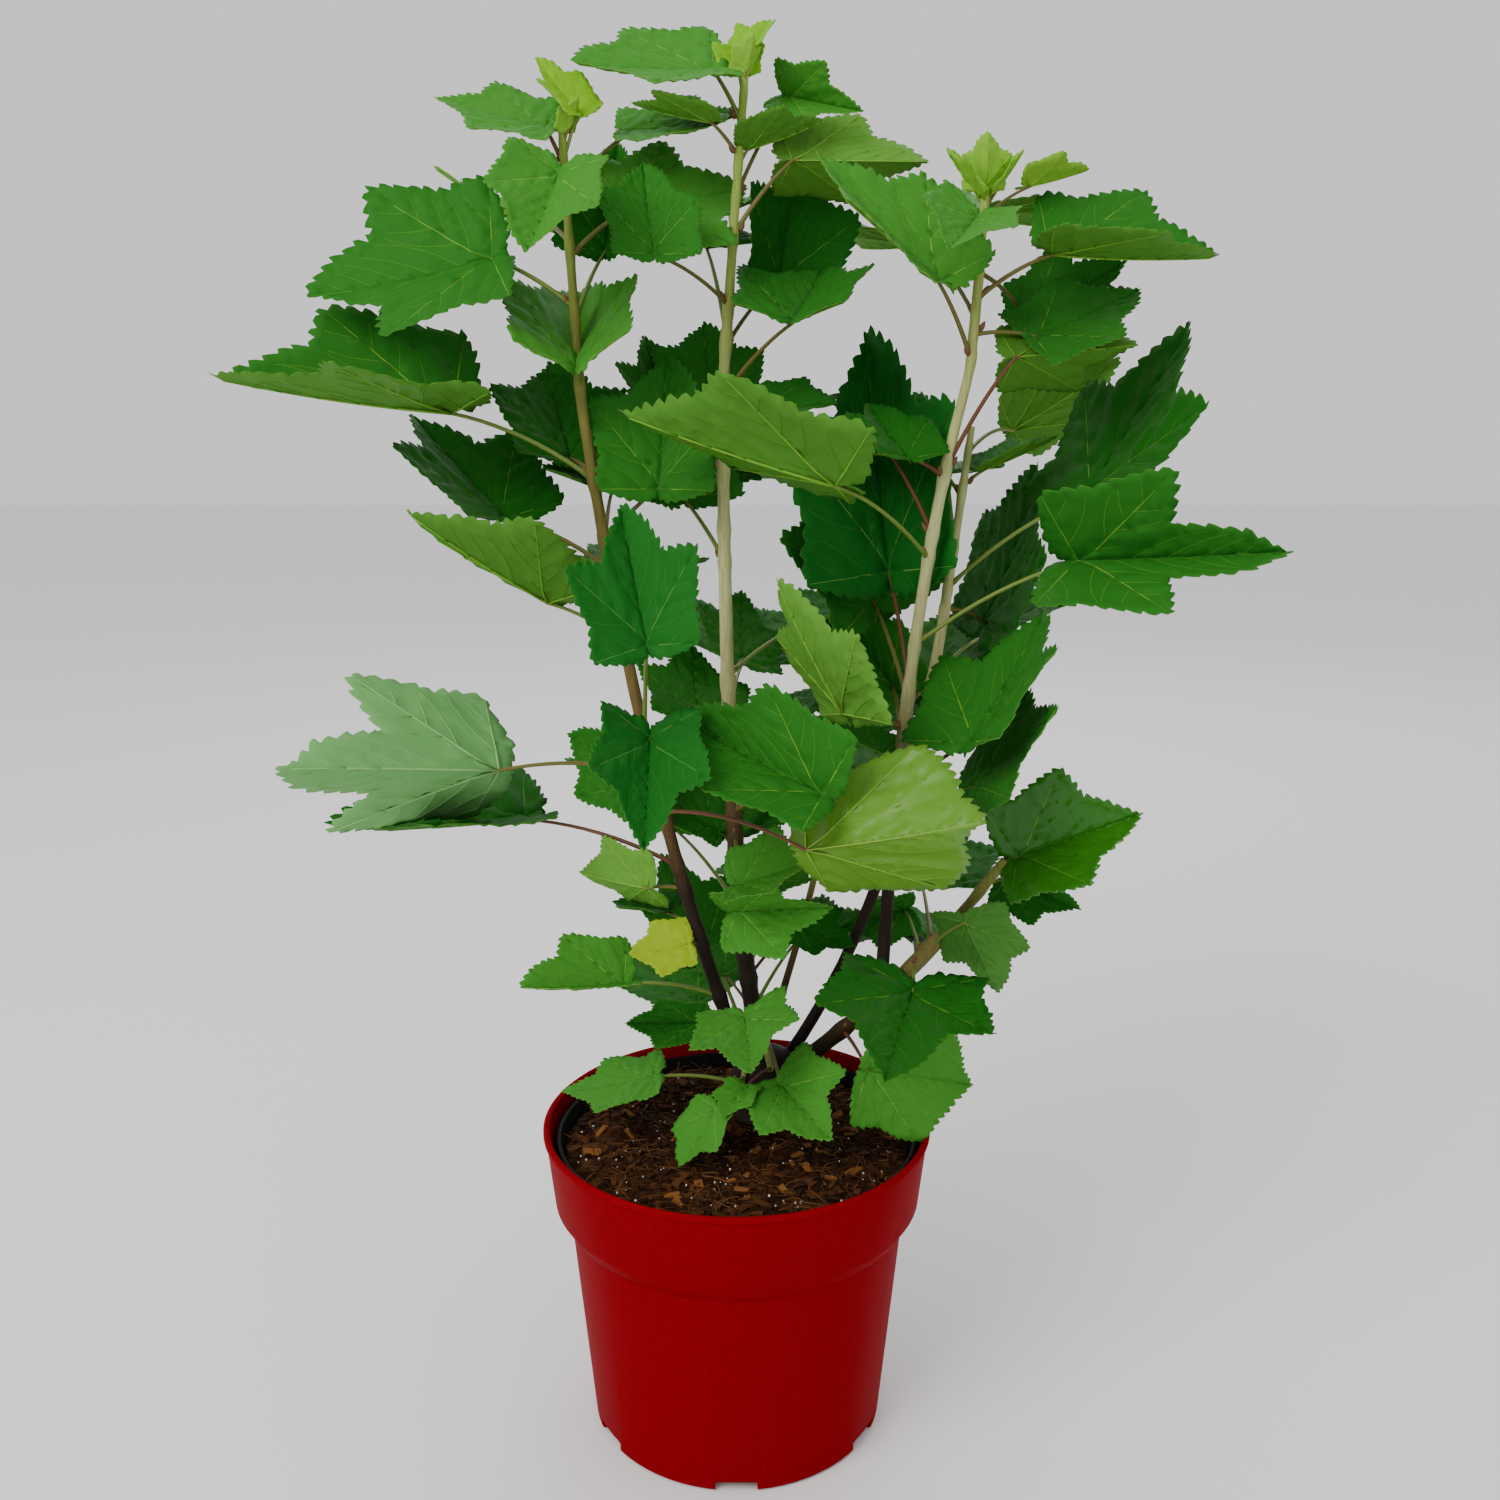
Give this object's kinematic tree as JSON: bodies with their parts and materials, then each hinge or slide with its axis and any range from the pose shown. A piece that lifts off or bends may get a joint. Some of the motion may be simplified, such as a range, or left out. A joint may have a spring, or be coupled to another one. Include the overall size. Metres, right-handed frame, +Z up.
{
  "type": "potted red currant shrub",
  "caption": "Young leafy currant shrub with several upright canes and lobed, toothed leaves, growing in a round flared nursery pot with soil.",
  "frame": {"origin": "centre of the pot's flat underside, on the pot's axis", "axes": "+Z up along the pot's axis; the pictured side faces -Y and +X is to the viewer's right"},
  "size_m": [0.4424, 0.2453, 0.662],
  "materials": {
    "pot_red": "smooth moulded plastic with a soft sheen",
    "liner_black": "thin black moulded plastic",
    "soil_brown": "moist fibrous peat with bark chips",
    "bark_brown": "young bark, dark at the foot and green above",
    "leaf_green": "matt leaf with a faint sheen"
  },
  "bodies": {
    "root": {"back_right_cane": "bark_brown", "back_right_foliage": "leaf_green", "back_right_top_foliage": "leaf_green", "back_shoot": "bark_brown", "back_shoot_foliage": "leaf_green", "foot_back_foliage": "leaf_green", "foot_front_foliage": "leaf_green", "foot_left_foliage": "leaf_green", "inner_pot": "liner_black", "left_back_foliage": "leaf_green", "left_cane": "bark_brown", "left_lower_back_foliage": "leaf_green", "left_lower_foliage": "leaf_green", "left_middle_foliage": "leaf_green", "left_top_foliage": "leaf_green", "left_upper_foliage": "leaf_green", "low_right_back_foliage": "leaf_green", "low_right_foliage": "leaf_green", "low_right_limb": "bark_brown", "low_right_tip_foliage": "leaf_green", "middle_cane": "bark_brown", "middle_foliage": "leaf_green", "middle_front_foliage": "leaf_green", "middle_lower_back_foliage": "leaf_green", "middle_lower_foliage": "leaf_green", "middle_top_foliage": "leaf_green", "middle_upper_foliage": "leaf_green", "pot": "pot_red", "right_cane": "bark_brown", "right_lower_foliage": "leaf_green", "right_middle_back_foliage": "leaf_green", "right_middle_foliage": "leaf_green", "right_top_foliage": "leaf_green", "right_upper_back_foliage": "leaf_green", "right_upper_foliage": "leaf_green", "root_crown": "bark_brown", "soil": "soil_brown"}
  },
  "joints": []
}
